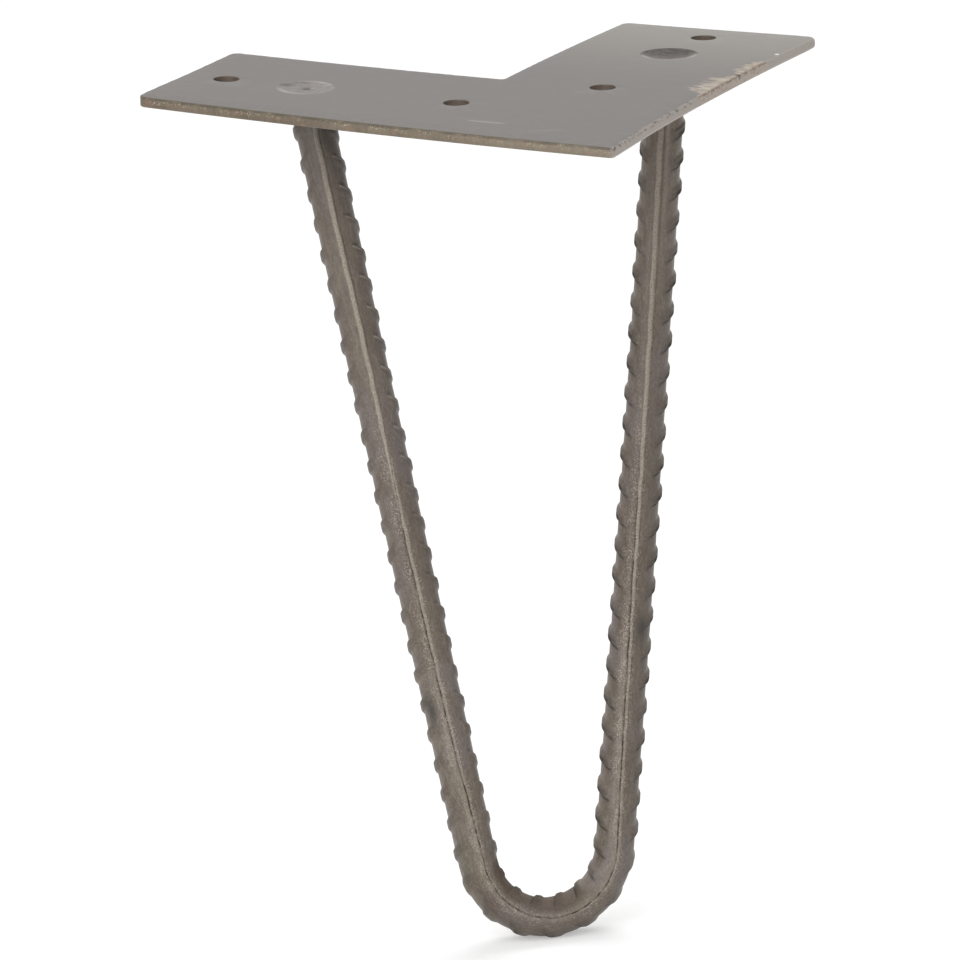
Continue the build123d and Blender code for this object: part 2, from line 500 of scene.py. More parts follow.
def rib_shade(rib):
    """The painted shade on each slanted rib's steep side, and on its face at the bar's front."""
    steep_middle = (RIB_CREST_REACH + RIB_STEEP_REACH * rib.widening) / 2
    steep = hump((rib.across + steep_middle) / STEEP_SHADE_WIDTH) * np.sqrt(rib.crescent)
    steep = steep * (1 - rib.left_leg * by_flank(rib.outside, STEEP_FAINTNESS))
    face = hump((rib.across + FACE_SHADE_PLACE) / FACE_SHADE_WIDTH)
    face = face * np.clip(FACE_TIP_LEVEL - FACE_TIP_SLOPE * rib.tipwards, 0, 1)
    face = face * (1 - rib.left_leg * by_flank(rib.outside, FACE_FAINTNESS))
    face = face * smooth(FACE_FRONT_LEVEL + FACE_FRONT_SLOPE * rib.frontwards)
    return np.maximum(steep, FACE_SHADE_SHARE * face) * rib.height


def rib_crest(rib, distance):
    """The painted highlight line on the crests of the left leg's inside ribs."""
    place = CREST_LINE_SLOPE * (1 - rib.tipwards) - RIB_CREST_REACH
    line = hump((rib.across - place) / CREST_LINE_WIDTH) * rib.crescent ** CREST_LINE_TAPER * ~rib.outside
    line = line * (CREST_LINE_LEAST + (1 - CREST_LINE_LEAST) * rib.tipwards)
    faded = 1 - CREST_FADE * fade(distance, start=70, full=110)
    return line * faded * smooth(side_of_bend(distance))


def long_ribs(distance, offset):
    """The share of the long ribs' height at each point, the height itself and the seam beside them."""
    up = smooth(towards_end(distance))
    half_width = LONG_RIB_LOW_WIDTH + (LONG_RIB_TOP_WIDTH - LONG_RIB_LOW_WIDTH) * up
    height = LONG_RIB_LOW_HEIGHT + (LONG_RIB_TOP_HEIGHT - LONG_RIB_LOW_HEIGHT) * up
    wander = LONG_RIB_WANDER * waves(np.random.default_rng(seed=7), distance, size=5.0)
    ridge = fade(np.abs(offset - wander) / half_width, start=1.5, full=0.5)
    seam_offset = np.interp(distance, SEAM_PLACES, SEAM_OFFSETS) + wander
    seam = hump((offset - seam_offset) / SEAM_WIDTH) * np.interp(distance, SEAM_PLACES, SEAM_SHARES)
    return ridge, height, seam


def rubbed_strips(distance, offset, ridge):
    """Where the bar is rubbed bright: its long ribs, and a fainter strip at the top of the right leg."""
    rubbed = ridge * np.interp(towards_end(distance), RUBBED_PLACES, RUBBED_SHARES)
    # The painted shadow of the plate dims the rubbed long rib at the left leg's top
    rubbed = rubbed * (1 - PLATE_SHADOW_DULLING * smooth(1 - distance / PLATE_SHADOW_REACH))
    strip = STRIP_SHARE * smooth(1 - (BAR_LENGTH - distance) / STRIP_LENGTH)
    return np.clip(rubbed + strip * hump((offset - STRIP_OFFSET) / STRIP_WIDTH), 0, 1)


def side_line(distance, offset):
    """The dark line on the outer side of the right leg's long rib."""
    from_top = BAR_LENGTH - distance
    place = np.interp(from_top, LINE_PLACES, LINE_OFFSETS)
    return np.interp(from_top, LINE_PLACES, LINE_SHARES) * hump((offset - place) / SEAM_WIDTH)


def highlight_band(distance, offset):
    """The painted highlight band beside the long rib, which grows towards the bend and fades at its bottom.
    """
    grown = fade(towards_end(distance), start=0.5, full=0.15)
    faded = 1 - HIGHLIGHT_FADE * hump((distance - BAR_MIDDLE) / HIGHLIGHT_FADE_REACH)
    return grown * faded * hump((offset - HIGHLIGHT_OFFSET * side_of_bend(distance)) / HIGHLIGHT_WIDTH)


def sparkling(distance, offset):
    """Where bare specks show: close beside the seam on the legs, and wider at the bottom of the bend."""
    lower = fade(towards_end(distance), start=0.85, full=0.4)
    from_band = offset - HIGHLIGHT_OFFSET * side_of_bend(distance)
    in_band = BAND_SPECKS_SHARE * hump(from_band / BAND_SPECKS_WIDTH)
    beside = lower * np.maximum(hump(offset / SEAM_SPECKS_WIDTH), in_band)
    bottom = BOTTOM_SPECKS_SHARE * hump((distance - BAR_MIDDLE) / BOTTOM_SPECKS_REACH)
    return np.maximum(beside, bottom * hump((offset - BOTTOM_SPECKS_OFFSET) / BOTTOM_SPECKS_WIDTH))


def hidden_side(distance, offset):
    """The dark inner side of the bend, less dark towards the right leg."""
    rightwards = smooth((distance - BAR_MIDDLE) / HIDDEN_FADE_REACH)
    return bend_share(distance) * smooth(-offset / HIDDEN_WIDTH) * (1 - HIDDEN_FADE * rightwards)


def smudged(distance, angles):
    """The dark smudges on the bar's front."""
    total = 0
    for place, turn, length, width in SMUDGES:
        across = CORE_RADIUS * (angles - turn)
        total = total + hump((distance - place) / length) * hump(across / width)
    return total


def tube_mesh(points):
    """A closed tube through rings of points."""
    bm = bmesh.new()
    rings = [[bm.verts.new(point) for point in ring] for ring in points]
    for ring, following in zip(rings, rings[1:]):
        bridge(bm, ring, following)
    bm.faces.new(rings[0])
    bm.faces.new(rings[-1])
    return bm


def bar_piece(material):
    """The whole bar: core, slanted ribs, long ribs and the slight unevenness of rolling."""
    stations = ring_stations()
    angles = section_angles()
    distance = ring_distances(stations, angles)
    offset = CORE_RADIUS * (math.pi / 2 - np.abs(angles))
    rib = rib_grid(stations, angles, distance)
    groove = rib_groove(rib)
    ridge, ridge_height, seam = long_ribs(distance, offset)
    uneven = waves(np.random.default_rng(seed=5), distance, angles * CORE_RADIUS, size=9.0)
    radius = CORE_RADIUS + RIB_HEIGHT * rib_relief(rib) + ridge_height * ridge + ROLLING_WAVE * uneven
    radius = radius - SEAM_DEPTH * seam - GROOVE_DEPTH * groove
    bm = tube_mesh(bar_points(distance, radius, angles + twist(distance)))
    piece = add_piece("ribbed_bar", bm, "hairpin_rod", material, BAR_SHARP_ANGLE)
    marks = {
        "groove": groove,
        "shade": rib_shade(rib),
        "crest": rib_crest(rib, distance),
        "bright": rubbed_strips(distance, offset, ridge),
        "seam": np.clip(seam + side_line(distance, offset), 0, 1),
        "painted_highlight": highlight_band(distance, offset),
        # Painted highlight band beside the long rib
        "sparkle": sparkling(distance, offset),
        "smudge": smudged(distance, angles),
        "hidden": hidden_side(distance, offset),
        "along": distance,
        "outward": CORE_RADIUS * np.cos(angles),
        "back": CORE_RADIUS * np.sin(angles),
    }
    for name, values in marks.items():
        carry(piece, name, np.broadcast_to(values, distance.shape))


# Plate

def straight_run(start, end, spacing):
    """Evenly spaced points between two corners, both left out, with the outward normal."""
    along = np.array(end) - np.array(start)
    length = np.linalg.norm(along)
    along = along / length
    normal = (along[1], -along[0])
    steps = np.arange(1, round(length / spacing)) * length / round(length / spacing)
    return [(np.array(start) + along * step, normal) for step in steps]


def plate_outline():
    """The plate's outline, with rounded corners, as points in its own axes and their outward normals."""
    corners = [
        ((NEAR_SIDE, NEAR_SIDE), FRONT_CORNER_RADIUS),
        ((ARM_END, NEAR_SIDE), OUTER_CORNER_RADIUS),
        ((ARM_END, FAR_SIDE), OUTER_CORNER_RADIUS),
        ((FAR_SIDE, FAR_SIDE), INNER_CORNER_RADIUS),
        ((FAR_SIDE, ARM_END), OUTER_CORNER_RADIUS),
        ((NEAR_SIDE, ARM_END), OUTER_CORNER_RADIUS),
    ]
    arcs = []
    for i, (corner, radius) in enumerate(corners):
        before = np.subtract(corner, corners[i - 1][0])
        after = np.subtract(corners[(i + 1) % len(corners)][0], corner)
        before = before / np.linalg.norm(before)
        after = after / np.linalg.norm(after)
        convex = np.sign(before[0] * after[1] - before[1] * after[0])
        centre = np.array(corner) - before * radius + after * radius
        turns = np.linspace(0, math.pi / 2, CORNER_POINTS)
        spokes = [before * math.sin(turn) - after * math.cos(turn) for turn in turns]
        arcs.append([(centre + spoke * radius, spoke * convex) for spoke in spokes])
    outline = []
    for arc, following in zip(arcs, arcs[1:] + arcs[:1]):
        outline += arc + straight_run(arc[-1][0], following[0][0], EDGE_SPACING)
    return np.array([point for point, _ in outline]), np.array([normal for _, normal in outline])


def circle(x, y, radius, count):
    """A hole's rim as points in the part's frame and normals that point into the hole."""
    turns = np.linspace(0, 2 * math.pi, count, endpoint=False)
    spokes = np.stack([np.cos(turns), np.sin(turns)], axis=-1)
    return np.array([x, y]) + spokes * radius, -spokes


def rim_levels(upper_round, lower_round, ripple):
    """Steps down a rounded edge: inset, height, and how far each step is wall and how far upper edge."""
    turns = np.linspace(0, math.pi / 2, ROUND_POINTS)
    levels = []
    for turn in turns:
        inset = upper_round * (1 - math.sin(turn))
        height = -upper_round * (1 - math.cos(turn))
        levels.append((inset, height, math.sin(turn), math.sin(2 * turn)))
    for share in WALL_STEPS:
        height = (UNDERSIDE + lower_round) * share - upper_round * (1 - share)
        levels.append((ripple * math.sin(WALL_WAVE_TURN * share), height, 1, 0))
    for turn in turns[::-1]:
        inset = lower_round * (1 - math.sin(turn))
        height = UNDERSIDE + lower_round * (1 - math.cos(turn))
        levels.append((inset, height, math.sin(turn), 0))
    return levels


def rim_strip(bm, points, normals, levels, marks):
    """The edge round an outline, from the top face to the underside; returns its end loops."""
    layers = bm.verts.layers.float
    loops = []
    for inset, height, wall, edge in levels:
        places = points - normals * np.reshape(inset, (-1, 1))
        heights = np.broadcast_to(height, len(points))
        loop = [bm.verts.new((x, y, z)) for (x, y), z in zip(places, heights)]
        for vert, *mark in zip(loop, *marks.values()):
            vert[layers["wall"]] = wall
            vert[layers["edge"]] = edge
            vert[layers["drop"]] = vert.co.z / UNDERSIDE
            for name, value in zip(marks, mark):
                vert[layers[name]] = value
        loops.append(loop)
    for upper, lower in zip(loops, loops[1:]):
        bridge(bm, upper, lower)
    return loops[0], loops[-1]


def loop_edges(bm, loop):
    """The edges round a closed loop of points."""
    edges = []
    for first, second in zip(loop, loop[1:] + loop[:1]):
        edges.append(bm.edges.get((first, second)) or bm.edges.new((first, second)))
    return edges


def outline_rim(bm):
    """The plate's outer edge, with the soft bevel and the nicks of its right front stretch."""
    rng = np.random.default_rng(seed=3)
    points, normals = plate_outline()
    p, q = points.T
    dressed = smooth(-normals[:, 1])
    scraped = sum(smooth(1 - np.abs(p - middle) / half) for middle, half, _ in SCRAPES)
    ragged = np.clip(NICK_LEVEL + NICK_SPREAD * waves(rng, p, size=4.0), 0, 1)
    uneven = waves(rng, np.arange(len(points)) * EDGE_SPACING, size=3.0, count=4)
    upper_round = SHEARED_ROUND + (DRESSED_ROUND - SHEARED_ROUND) * dressed
    upper_round = np.clip(upper_round * (1 + ROUND_WAVE * uneven), LEAST_ROUND, None)
    upper_round = upper_round + NICK_DEPTH * scraped * ragged * dressed
    ripple = WALL_WAVE * rng.uniform(-1, 1, len(points)) * (1 - dressed)
    from_corner = np.hypot(p - ARM_END, q - NEAR_SIDE)
    worn_corner = WORN_CORNER_ROUND * hump(from_corner / WORN_CORNER_REACH)
    levels = rim_levels(upper_round + worn_corner, LOWER_ROUND + worn_corner, ripple)
    outline = np.stack(part_xy(p, q), axis=-1)
    outward = np.stack(part_xy(*normals.T), axis=-1)
    return rim_strip(bm, outline, outward, levels, {"dressed": dressed, "bore": 0 * dressed})


def hole_rims(bm):
    """The edges of the four screw holes."""
    levels = rim_levels(HOLE_ROUND, HOLE_ROUND, 0.0)
    marks = {"dressed": np.zeros(HOLE_POINTS), "bore": np.ones(HOLE_POINTS)}
    loops = []
    for mount in HOLE_MOUNTS:
        for side in (-1, 1):
            x = mount["pos_m"][0] / MM + side * mount["dims"]["spacing_x_mm"] / 2
            points, normals = circle(x, mount["pos_m"][1] / MM, HOLE_RADIUS, HOLE_POINTS)
            loops.append(rim_strip(bm, points, normals, levels, marks))
    return loops


def weld_hole_rims(bm):
    """The straight walls of the two holes that the welds fill."""
    loops = []
    for centre in WELD_CENTRES.values():
        rim, _ = circle(centre[0], centre[1], WELD_RADIUS, WELD_POINTS)
        upper = [bm.verts.new((x, y, 0)) for x, y in rim]
        lower = [bm.verts.new((x, y, UNDERSIDE)) for x, y in rim]
        bridge(bm, upper, lower)
        loops.append((upper, lower))
    return loops


def plate_piece(material):
    """The L-shaped sheet with its screw holes, weld holes, worn edges and slight bow."""
    bm = bmesh.new()
    for name in ("wall", "edge", "drop", "dressed", "bore"):
        bm.verts.layers.float.new(name)
    loops = [outline_rim(bm)] + hole_rims(bm) + weld_hole_rims(bm)
    for end in (0, 1):
        edges = [edge for pair in loops for edge in loop_edges(bm, pair[end])]
        bmesh.ops.triangle_fill(bm, edges=edges, use_beauty=True, normal=(0, 0, 1 - 2 * end))
    for along in (Vector((1, 1, 0)).normalized(), Vector((-1, 1, 0)).normalized()):
        for step in np.arange(NEAR_SIDE + BOW_GRID, ARM_END, BOW_GRID):
            everything = bm.verts[:] + bm.edges[:] + bm.faces[:]
            bmesh.ops.bisect_plane(bm, geom=everything, plane_co=along * step, plane_no=along)
    follow_bow(bm)
    add_piece("steel_plate", bm, "mounting_plate", material, SHEET_SHARP_ANGLE)


# Welds

# Turn of the directions on a weld's top from the part's axes, and the width of the seat at its rim
WELD_TURN = math.radians(20)
WELD_SEAT = 0.3

# Left weld's relief: the hollow, the grinding arcs and the pit
HOLLOW_DEPTH = 0.2
ARC_HEIGHT = 0.03
ARC_PITCH = 2.6
ARC_CENTRE = (-3.5, 6.0)
PIT_DEPTH = 0.6
PIT_PLACE = (0.3, -0.5)
PIT_SIZE = (1.2, 0.9)

# Left weld's tone: arcs have a radius, width, turn, spread and gain, and spots a place, size and gain. Of
# the spots, the dark one on the pit is painted shade and the bright one beside it a painted highlight
GROUND_PALENESS = 0.3
GROUND_RIGHT_GAIN = 0.08
GROUND_ARCS = ((6.2, 0.8, -2.35, 0.75, 0.45), (6.2, 0.8, 0.9, 0.6, 0.3), (5.2, 0.5, 1.8, 0.5, -0.3))
GROUND_SPOTS = ((-4.6, 3.0, 1.5, 1.2, -0.45), (0.2, -0.5, 0.9, 0.9, -0.8), (1.5, -0.1, 0.5, 0.6, 0.45))

# Right weld's relief: waves of the rim have a height, count and phase
DISH_RADIUS = 6.3
DISH_WAVES = ((0.15, 3, 0.7), (0.1, 5, 0))
DISH_DEPTH = 0.9
DISH_POWER = 2.2
RIPPLE_HEIGHT = 0.04
RIPPLE_PITCH = 1.9
RIPPLE_SLANT = 0.5

# Right weld's tone: dark, with painted shade on its far side, paler towards its near side, and a painted
# highlight on its near rim
DISH_PALENESS = 0.05
DISH_NEAR_GAIN = 0.3
RIM_RADIUS = 6.4
RIM_WIDTH = 0.7
RIM_HIGHLIGHT_GAIN = 0.75


def weld_axes(x, y):
    """A point from a weld's centre along two directions: rightwards and away from the camera."""
    right = x * math.cos(WELD_TURN) - y * math.sin(WELD_TURN)
    away = x * math.sin(WELD_TURN) + y * math.cos(WELD_TURN)
    return right, away


def weld_piece(side, relief, tone, material):
    """A round of weld metal in its hole, with a relief and a tone over its top."""
    centre = WELD_CENTRES[side]
    turns = np.linspace(0, 2 * math.pi, WELD_POINTS, endpoint=False)
    bm = bmesh.new()
    middle = bm.verts.new((centre[0], centre[1], relief(0.0, 0.0)))
    loops = []
    for radius in np.linspace(0, WELD_RADIUS, WELD_RINGS)[1:]:
        xs = radius * np.cos(turns)
        ys = radius * np.sin(turns)
        heights = relief(*weld_axes(xs, ys)) * smooth((WELD_RADIUS - radius) / WELD_SEAT)
        loops.append([bm.verts.new(place) for place in zip(centre[0] + xs, centre[1] + ys, heights)])
    loops.append([bm.verts.new((vert.co.x, vert.co.y, UNDERSIDE)) for vert in loops[-1]])
    for first, second in zip(loops[0], loops[0][1:] + loops[0][:1]):
        bm.faces.new((middle, first, second))
    for inner, outer in zip(loops, loops[1:]):
        bridge(bm, inner, outer)
    bm.faces.new(loops[-1])
    follow_bow(bm)
    piece = add_piece(side + "_weld", bm, side + "_plug_weld", material, SHEET_SHARP_ANGLE)
    places = np.empty(3 * len(piece.data.vertices))
    piece.data.vertices.foreach_get("co", places)
    right, away = weld_axes(places[0::3] / MM - centre[0], places[1::3] / MM - centre[1])
    carry(piece, "tone", np.clip(tone(right, away), 0, 1))


def ground_relief(right, away):
    """The left weld: ground almost flush, a little hollow, with grinding arcs and a pit near its middle."""
    radius = np.hypot(right, away)
    hollow = HOLLOW_DEPTH * fade(radius / WELD_RADIUS, start=1.15, full=0.15)
    from_arcs = np.hypot(right - ARC_CENTRE[0], away - ARC_CENTRE[1])
    arcs = ARC_HEIGHT * np.sin(from_arcs * 2 * math.pi / ARC_PITCH) * fade(radius, start=6.5, full=1.5)
    from_pit = np.hypot((right - PIT_PLACE[0]) / PIT_SIZE[0], (away - PIT_PLACE[1]) / PIT_SIZE[1])
    return arcs - hollow - PIT_DEPTH * smooth(1 - from_pit)


def ground_tone_and_shading(right, away):
    """How pale the left weld is: bright at its near left and far right rim, with a dark smear between,
    painted shade in its pit and a painted highlight beside it.
    """
    radius = np.hypot(right, away)
    turn = np.arctan2(away, right)
    pale = GROUND_PALENESS + GROUND_RIGHT_GAIN * fade(right, start=0, full=5)
    for middle, width, place, spread, gain in GROUND_ARCS:
        pale = pale + gain * hump((radius - middle) / width) * hump((turn - place) / spread)
    for x, y, half_x, half_y, gain in GROUND_SPOTS:
        pale = pale + gain * hump((right - x) / half_x) * hump((away - y) / half_y)
    return pale


def dish_relief(right, away):
    """The right weld: a shallow round crater, steepest at its rim, with weld ripples on its floor."""
    radius = np.hypot(right, away)
    turn = np.arctan2(away, right)
    rim = DISH_RADIUS + sum(height * np.sin(count * turn + phase) for height, count, phase in DISH_WAVES)
    bowl = DISH_DEPTH * (1 - np.clip(radius / rim, 0, 1) ** DISH_POWER)
    ripples = RIPPLE_HEIGHT * np.sin((right * RIPPLE_SLANT + away) * 2 * math.pi / RIPPLE_PITCH)
    return ripples * fade(radius / rim, start=1.2, full=0.2) - bowl


def dish_shading(right, away):
    """How pale the right weld is: painted shade at its far side, and a painted highlight on its near rim.
    """
    rim = hump((np.hypot(right, away) - RIM_RADIUS) / RIM_WIDTH)
    near_rim = rim * fade(np.sin(np.arctan2(away, right)), start=0.35, full=-0.65)
    near = fade(away, start=4, full=-4)
    return DISH_PALENESS + DISH_NEAR_GAIN * near + RIM_HIGHLIGHT_GAIN * near_rim


# Materials

# How much of a spot or a stroke is at full strength, and the share of a stroke's length where it fades
SPOT_CORE = 0.3
STROKE_CORE = 0.2
STROKE_FADE = 0.25


class Finish:
    """A material's nodes, with short calls for the ones that the finishes use."""

    def __init__(self, name):
        self.material = bpy.data.materials.new(name)
        self.material.use_nodes = True
        self.tree = self.material.node_tree
        self.tree.nodes.clear()
        self.shader = self.tree.nodes.new("ShaderNodeBsdfPrincipled")
        output = self.tree.nodes.new("ShaderNodeOutputMaterial")
        self.tree.links.new(self.shader.outputs["BSDF"], output.inputs["Surface"])
        self.place = self.tree.nodes.new("ShaderNodeTexCoord").outputs["Object"]

    def add(self, kind, output, inputs, **settings):
        """A node with its settings, its inputs set or linked, and one output returned."""
        made = self.tree.nodes.new(kind)
        for name, value in settings.items():
            setattr(made, name, value)
        for name, value in inputs.items():
            self.put(made.inputs[name], value)
        return made.outputs[output]

    def put(self, socket, value):
        """Links an output to a socket, or sets the socket's own value."""
        if isinstance(value, bpy.types.NodeSocket):
            self.tree.links.new(value, socket)
        else:
            socket.default_value = value

    def attribute(self, name):
        """A value that the mesh carries at each point."""
        return self.add("ShaderNodeAttribute", "Fac", {}, attribute_name=name)

    def vector(self, x, y, z):
        """Three values as one vector."""
        return self.add("ShaderNodeCombineXYZ", 0, {0: x, 1: y, 2: z})

    def stretch(self, place, factors):
        """A place with each direction multiplied, which draws a noise out along the small factors."""
        return self.add("ShaderNodeVectorMath", 0, {0: place, 1: factors}, operation="MULTIPLY")

    def noise(self, size, detail, rough, place):
        """Soft noise with features of about this size in millimetres, over a place in metres."""
        inputs = {"Vector": place, "Scale": 1 / (size * MM), "Detail": detail, "Roughness": rough}
        return self.add("ShaderNodeTexNoise", "Fac", inputs)

    def math(self, operation, first, second=0.0):
        """One arithmetic step."""
        return self.add("ShaderNodeMath", 0, {0: first, 1: second}, operation=operation)

    def times(self, *values):
        """The product of several values."""
        product = values[0]
        for value in values[1:]:
            product = self.math("MULTIPLY", product, value)
        return product

    def ramp(self, value, low, high, bottom=0.0, top=1.0):
        """A soft step from bottom to top as the value goes from low to high."""
        inputs = {"Value": value, "From Min": low, "From Max": high, "To Min": bottom, "To Max": top}
        return self.add("ShaderNodeMapRange", 0, inputs, interpolation_type="SMOOTHSTEP")

    def mix(self, share, first, second):
        """A mix of two colours."""
        inputs = {"Factor": share, 6: first, 7: second}
        return self.add("ShaderNodeMix", 2, inputs, data_type="RGBA")

    def lay(self, colour, *layers):
        """A colour with others over it, each with its share."""
        for share, shade in layers:
            colour = self.mix(share, colour, srgb(*shade))
        return colour

    def bump(self, height, depth, under=None):
        """Fine relief of this depth in millimetres."""
        inputs = {"Height": height, "Distance": depth * MM}
        if under is not None:
            inputs["Normal"] = under
        return self.add("ShaderNodeBump", 0, inputs)

    def split(self, place):
        """The first two directions of a place, in millimetres."""
        made = self.tree.nodes.new("ShaderNodeSeparateXYZ")
        self.tree.links.new(place, made.inputs[0])
        return self.times(made.outputs[0], 1 / MM), self.times(made.outputs[1], 1 / MM)

    def spot(self, place, p, q, radius):
        """A soft round mark on the plate."""
        flat = self.stretch(place, (1, 1, 0))
        inputs = {0: flat, 1: (p * MM, q * MM, 0)}
        far = self.add("ShaderNodeVectorMath", "Value", inputs, operation="DISTANCE")
        return self.ramp(far, radius * MM, SPOT_CORE * radius * MM)

    def stroke(self, place, start, end, half_width):
        """A soft straight mark on the plate from one place to another."""
        run = np.subtract(end, start)
        length = math.hypot(*run)
        inputs = {
            "Vector": place,
            "Location": (start[0] * MM, start[1] * MM, 0),
            "Rotation": (0, 0, math.atan2(run[1], run[0])),
        }
        along, across = self.split(self.add("ShaderNodeMapping", 0, inputs, vector_type="TEXTURE"))
        wide = self.ramp(self.math("ABSOLUTE", across), half_width, STROKE_CORE * half_width)
        begun = self.ramp(along, 0.0, STROKE_FADE * length)
        ended = self.ramp(along, length, (1 - STROKE_FADE) * length)
        return self.times(wide, begun, ended)

    def finish(self, colour, roughness, normal, metallic, ior):
        """Sets the shader's main inputs and gives the material."""
        self.put(self.shader.inputs["Base Color"], colour)
        self.put(self.shader.inputs["Roughness"], roughness)
        self.put(self.shader.inputs["Normal"], normal)
        self.shader.inputs["Metallic"].default_value = metallic
        self.shader.inputs["IOR"].default_value = ior
        return self.material


def srgb(red, green, blue):
    """A colour given as it looks on screen, from 0 to 255, in the linear values that shaders take."""
    def linear(value):
        value = value / 255
        return value / 12.92 if value <= 0.04045 else ((value + 0.055) / 1.055) ** 2.4
    return linear(red), linear(green), linear(blue), 1.0


# Noises on the bar: size, detail, roughness, and a factor below 1 where it is drawn out along the bar
BAR_NOISES = {
    "streaks": (0.9, 3, 0.6, 0.3),
    "clouds": (4.5, 4, 0.6, 0.5),
    "patches": (7.0, 3, 0.5, 0.5),
    "rust": (3.0, 3, 0.6, 0.35),
    "grain": (0.4, 2, 0.6, 0.5),
    "ragged": (0.8, 3, 0.6, 0.5),
    "speckle": (0.38, 3, 0.65, 1),
    "gathered": (4.0, 3, 0.6, 1),
    "bare": (0.36, 2, 0.6, 1),
    "dullness": (1.4, 3, 0.5, 1),
    "pores": (0.3, 2, 0.6, 1),
    "hollows": (1.8, 4, 0.6, 1),
}

# Mill scale: dark streaks under layers with a noise, its low and high value, share and colour
DARK_STREAKS = (101, 91, 80)
SCALE_LAYERS = (
    ("streaks", 0.3, 0.7, 1, (123, 112, 99)),
    ("clouds", 0.38, 0.68, 0.65, (92, 80, 71)),
    ("patches", 0.52, 0.66, 0.6, (117, 106, 103)),
    ("patches", 0.46, 0.34, 0.5, (106, 98, 81)),
    ("rust", 0.54, 0.68, 0.5, (97, 77, 65)),
    ("grain", 0.54, 0.7, 0.3, (160, 149, 134)),
    ("grain", 0.46, 0.3, 0.4, (66, 58, 51)),
)

# The painted shadow of the plate on the left leg's top is darkest on the hairpin's inside: offsets outwards
# and share at each
PLATE_SHADOW_COLOUR = (62, 56, 51)
PLATE_SHADOW_INSIDE = (3, -2, 0.3, 0.8)

# Stretches of the bar painted darker as painted shade and paler as painted light: start, full from, full
# to, end, share and colour
PAINTED_SHADE_TONE = (72, 60, 53)
PAINTED_LIGHT_TONE = (150, 139, 125)
LIGHT_AND_SHADE_STRETCHES = (
    (-10, 0, 110, 145, 0.2, PAINTED_SHADE_TONE),
    (192, 204, 220, 234, 0.13, PAINTED_LIGHT_TONE),
    (225, 260, 335, 365, 0.22, PAINTED_SHADE_TONE),
    (355, 380, 420, 430, 0.17, PAINTED_LIGHT_TONE),
)

# Marks on the bar: value on the mesh, noise, its low and high value, the share at each, and colour
# Near black, for the dark seam and for painted shade on the slanted ribs
SEAM_AND_SHADE_DARK = (20, 17, 15)
BAR_MARKS = (
    # Painted highlight band beside the long rib
    ("painted_highlight", "streaks", 0.34, 0.62, 0.25, 0.55, (166, 155, 140)),
    ("bright", "speckle", 0.46, 0.36, 0, 0.4, (86, 77, 68)),
    ("bright", "speckle", 0.38, 0.6, 0.35, 0.9, (174, 163, 148)),
    ("sparkle", "bare", 0.53, 0.61, 0, 0.95, (186, 175, 160)),
    ("hidden", "clouds", 0, 1, 0.5, 0.5, (80, 67, 60)),
    ("smudge", "clouds", 0, 1, 0.95, 0.95, (56, 51, 46)),
    ("seam", "ragged", 0.35, 0.62, 1, 0.45, SEAM_AND_SHADE_DARK),
    # Painted highlight on the crests of the left leg's inside ribs
    ("crest", "clouds", 0.35, 0.6, 0.45, 1, (184, 173, 157)),
    # Painted shade on the slanted ribs' steep sides and faces
    ("shade", "clouds", 0.3, 0.65, 0.8, 1, SEAM_AND_SHADE_DARK),
    # Painted shade in the foot grooves of the slanted ribs
    ("groove", "clouds", 0.3, 0.6, 0.4, 0.9, SEAM_AND_SHADE_DARK),
)
GATHERED_SPECKS = (0.36, 0.58, 0.25, 1)

# The bar's roughness over its noise, less in the painted highlight band and more where it is marked, and
# its relief
BAR_ROUGHNESS = (0.2, 0.8, 0.36, 0.48)
HIGHLIGHT_GLOSS = 0.08
DULL_ROUGHNESS = (0.1, 0.7, 0, 0.95)
PORE_DEPTH = 0.02
HOLLOWS_DEPTH = 0.06


def bar_noises(f):
    """The bar's noises, laid over its unrolled skin."""
    unrolled = f.vector(f.attribute("along"), f.attribute("outward"), f.attribute("back"))
    noises = {}
    for name, (size, detail, rough, drawn) in BAR_NOISES.items():
        noises[name] = f.noise(size, detail, rough, f.stretch(unrolled, (drawn * MM, MM, MM)))
    return noises


def mill_scale(f, noises):
    """The bar's brown-grey scale: streaks, clouds, patches and grain, with painted light and shade along
    the bar and the painted shadow of the plate at the left leg's top.
    """
    colour = srgb(*DARK_STREAKS)
    for noise, low, high, share, shade in SCALE_LAYERS:
        colour = f.lay(colour, (f.ramp(noises[noise], low, high, 0, share), shade))
    along = f.attribute("along")
    # Painted shadow of the plate on the left leg's top
    plate_shadow = f.times(f.ramp(along, PLATE_SHADOW_REACH, 0), f.ramp(f.attribute("outward"), *PLATE_SHADOW_INSIDE))
    colour = f.lay(colour, (plate_shadow, PLATE_SHADOW_COLOUR))
    # Painted light and painted shade along the bar
    for start, rise, fall, end, share, shade in LIGHT_AND_SHADE_STRETCHES:
        stretch = f.times(f.ramp(along, start, rise), f.ramp(along, end, fall), share)
        colour = f.lay(colour, (stretch, shade))
    return colour


def bar_marks(f, noises, colour):
    """The bar's rubbed and dark marks, painted highlight and painted shade among them; returns the colour
    and how dull the dark ones are.
    """
    shares = {}
    for mark, noise, low, high, least, most, shade in BAR_MARKS:
        shares[mark] = f.times(f.attribute(mark), f.ramp(noises[noise], low, high, least, most))
        if mark == "sparkle":
            shares[mark] = f.times(shares[mark], f.ramp(noises["gathered"], *GATHERED_SPECKS))
        colour = f.lay(colour, (shares[mark], shade))
    dull = f.attribute("hidden")
    for mark in ("seam", "shade", "groove"):
        dull = f.math("MAXIMUM", dull, shares[mark])
    return colour, dull


